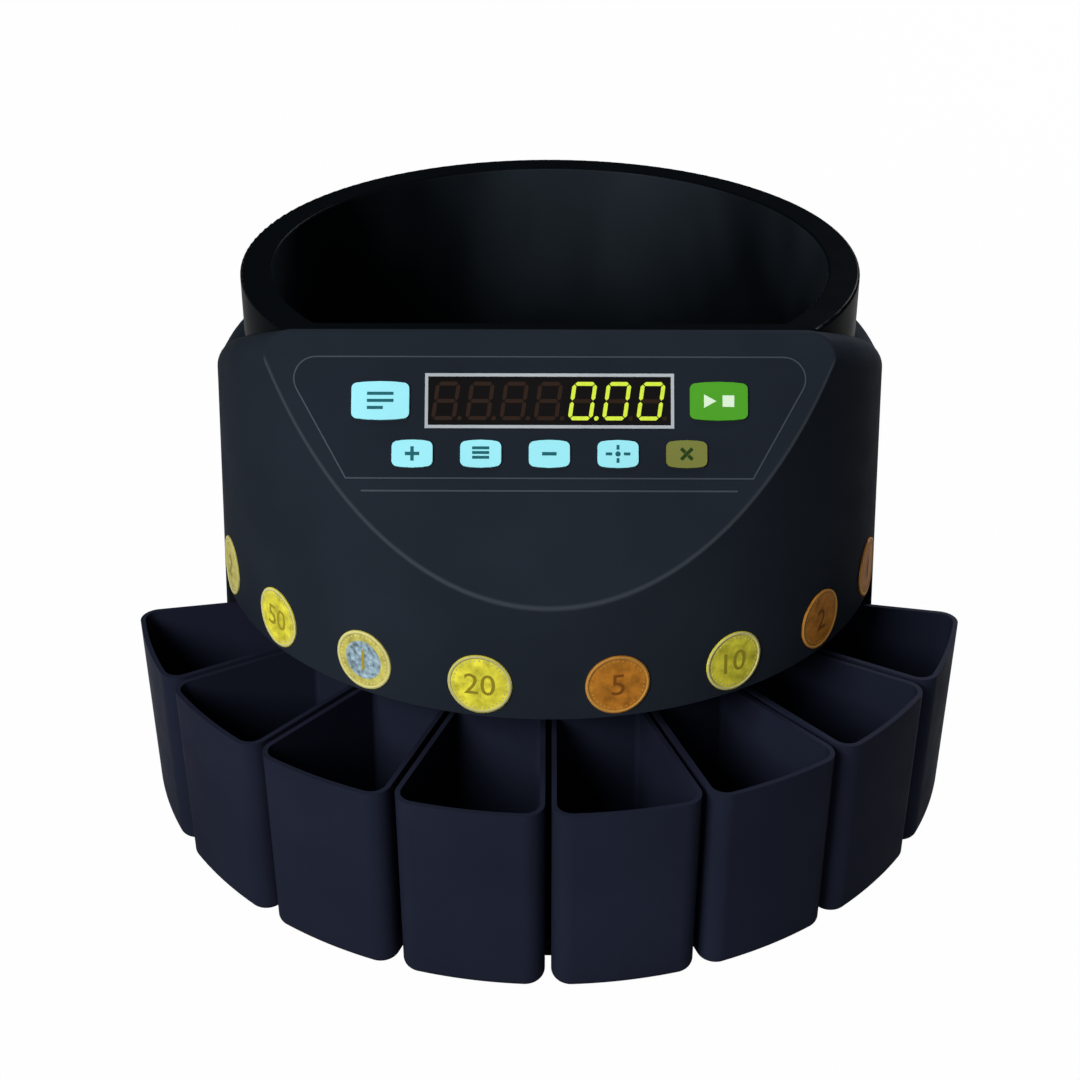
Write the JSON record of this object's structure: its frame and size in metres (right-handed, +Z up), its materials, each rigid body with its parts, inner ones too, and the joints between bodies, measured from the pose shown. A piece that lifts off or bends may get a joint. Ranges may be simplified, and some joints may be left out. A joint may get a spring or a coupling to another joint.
{
  "type": "coin sorting machine",
  "caption": "Desktop coin sorting machine with an open hopper, sloping key panel with display, round drum housing and pull-out coin cups around the front.",
  "frame": {"origin": "centre of the bounding box at desk level", "axes": "+Z up, +X to the right seen from the front, the panel and the cups face -Y; the drum's axis is upright at x 0, y 17 mm"},
  "size_m": [0.3542, 0.3307, 0.243],
  "materials": {
    "shell_black": "satin",
    "hopper_black": "gloss",
    "cup_black": "satin",
    "tray_black": "matte",
    "film_black": "satin",
    "key_cyan": "satin",
    "key_green": "satin",
    "key_olive": "satin",
    "frame_white": "satin",
    "smoked_window": "gloss",
    "display_black": "matte",
    "disc_rubber": "matte",
    "deck_grey": "matte",
    "steel": "brushed",
    "bronze": "satin",
    "gear_nylon": "satin",
    "board_green": "satin",
    "rubber_black": "matte",
    "transformer_iron": "satin",
    "coin_gold": "satin",
    "coin_copper": "satin",
    "coin_two_tone": "satin",
    "brass_pin": "satin"
  },
  "bodies": {
    "machine": {"main_housing": "shell_black", "hopper": "hopper_black", "base_tray": "tray_black", "bay_wall": "tray_black", "rubber_feet": "rubber_black", "housing_screws": "steel", "sorting_deck": "deck_grey", "coin_chute": "tray_black", "coin_sensors": "display_black", "coin_wiper": "rubber_black", "spindle_bush": "bronze", "drive_motor": "steel", "motor_bracket": "steel", "motor_screws": "steel", "deck_posts": "steel", "deck_screws": "steel", "panel_overlay": "film_black", "display_frame": "frame_white", "display_window": "smoked_window", "display_module": "display_black", "key_switches": "display_black", "control_board": "board_green", "board_screws": "steel", "supply_board": "board_green", "transformer": "transformer_iron", "power_inlet": "rubber_black", "inlet_pins": "brass_pin", "switch_frame": "display_black", "coin_label_1": "coin_two_tone", "coin_label_2": "coin_gold", "coin_label_3": "coin_two_tone", "coin_label_4": "coin_gold", "coin_label_5": "coin_copper", "coin_label_6": "coin_gold", "coin_label_7": "coin_copper", "coin_label_8": "coin_copper"},
    "rotor": {"feed_disc": "disc_rubber", "disc_knob": "shell_black", "spindle": "steel", "disc_gear": "gear_nylon"},
    "motor_rotor": {"motor_pinion": "bronze", "motor_shaft": "steel"},
    "key_list_body": {"key_list": "key_cyan"},
    "key_start_body": {"key_start": "key_green"},
    "key_plus_body": {"key_plus": "key_cyan"},
    "key_stack_body": {"key_stack": "key_cyan"},
    "key_minus_body": {"key_minus": "key_cyan"},
    "key_set_body": {"key_set": "key_cyan"},
    "key_clear_body": {"key_clear": "key_olive"},
    "rocker": {"switch_rocker": "display_black"},
    "cup_1_body": {"coin_cup_1": "cup_black"},
    "cup_2_body": {"coin_cup_2": "cup_black"},
    "cup_3_body": {"coin_cup_3": "cup_black"},
    "cup_4_body": {"coin_cup_4": "cup_black"},
    "cup_5_body": {"coin_cup_5": "cup_black"},
    "cup_6_body": {"coin_cup_6": "cup_black"},
    "cup_7_body": {"coin_cup_7": "cup_black"},
    "cup_8_body": {"coin_cup_8": "cup_black"}
  },
  "joints": [
    {"name": "disc_spin", "type": "hinge", "parent": "machine", "child": "rotor", "pos_m": [0, 0.017, 0.13], "axis": [0, 0, 1], "continuous": true},
    {"name": "motor_spin", "type": "hinge", "parent": "machine", "child": "motor_rotor", "pos_m": [0, 0.08115, 0.1], "axis": [0, 0, 1], "continuous": true},
    {"name": "key_list_press", "type": "slide", "parent": "machine", "child": "key_list_body", "axis": [0, 0.8111, -0.585], "range_m": [0, 0.0008], "stiffness_N_per_m": 900, "springref_m": -0.0004},
    {"name": "key_start_press", "type": "slide", "parent": "machine", "child": "key_start_body", "axis": [0, 0.8111, -0.585], "range_m": [0, 0.0008], "stiffness_N_per_m": 900, "springref_m": -0.0004},
    {"name": "key_plus_press", "type": "slide", "parent": "machine", "child": "key_plus_body", "axis": [0, 0.8111, -0.585], "range_m": [0, 0.0008], "stiffness_N_per_m": 900, "springref_m": -0.0004},
    {"name": "key_stack_press", "type": "slide", "parent": "machine", "child": "key_stack_body", "axis": [0, 0.8111, -0.585], "range_m": [0, 0.0008], "stiffness_N_per_m": 900, "springref_m": -0.0004},
    {"name": "key_minus_press", "type": "slide", "parent": "machine", "child": "key_minus_body", "axis": [0, 0.8111, -0.585], "range_m": [0, 0.0008], "stiffness_N_per_m": 900, "springref_m": -0.0004},
    {"name": "key_set_press", "type": "slide", "parent": "machine", "child": "key_set_body", "axis": [0, 0.8111, -0.585], "range_m": [0, 0.0008], "stiffness_N_per_m": 900, "springref_m": -0.0004},
    {"name": "key_clear_press", "type": "slide", "parent": "machine", "child": "key_clear_body", "axis": [0, 0.8111, -0.585], "range_m": [0, 0.0008], "stiffness_N_per_m": 900, "springref_m": -0.0004},
    {"name": "cup_1_slide", "type": "slide", "parent": "machine", "child": "cup_1_body", "axis": [-0.9333, -0.3592, 0], "range_m": [0, 0.075]},
    {"name": "cup_2_slide", "type": "slide", "parent": "machine", "child": "cup_2_body", "axis": [-0.7576, -0.6528, 0], "range_m": [0, 0.075]},
    {"name": "cup_3_slide", "type": "slide", "parent": "machine", "child": "cup_3_body", "axis": [-0.4932, -0.8699, 0], "range_m": [0, 0.075]},
    {"name": "cup_4_slide", "type": "slide", "parent": "machine", "child": "cup_4_body", "axis": [-0.1711, -0.9853, 0], "range_m": [0, 0.075]},
    {"name": "cup_5_slide", "type": "slide", "parent": "machine", "child": "cup_5_body", "axis": [0.1711, -0.9853, 0], "range_m": [0, 0.075]},
    {"name": "cup_6_slide", "type": "slide", "parent": "machine", "child": "cup_6_body", "axis": [0.4932, -0.8699, 0], "range_m": [0, 0.075]},
    {"name": "cup_7_slide", "type": "slide", "parent": "machine", "child": "cup_7_body", "axis": [0.7576, -0.6528, 0], "range_m": [0, 0.075]},
    {"name": "cup_8_slide", "type": "slide", "parent": "machine", "child": "cup_8_body", "axis": [0.9333, -0.3592, 0], "range_m": [0, 0.075]},
    {"name": "switch_rock", "type": "hinge", "parent": "machine", "child": "rocker", "pos_m": [-0.024, 0.1456, 0.042], "axis": [1, 0, 0], "range_deg": [0, 10]}
  ],
  "couplings": [
    {"joint": "motor_spin", "follows": "disc_spin", "ratio": -3}
  ]
}
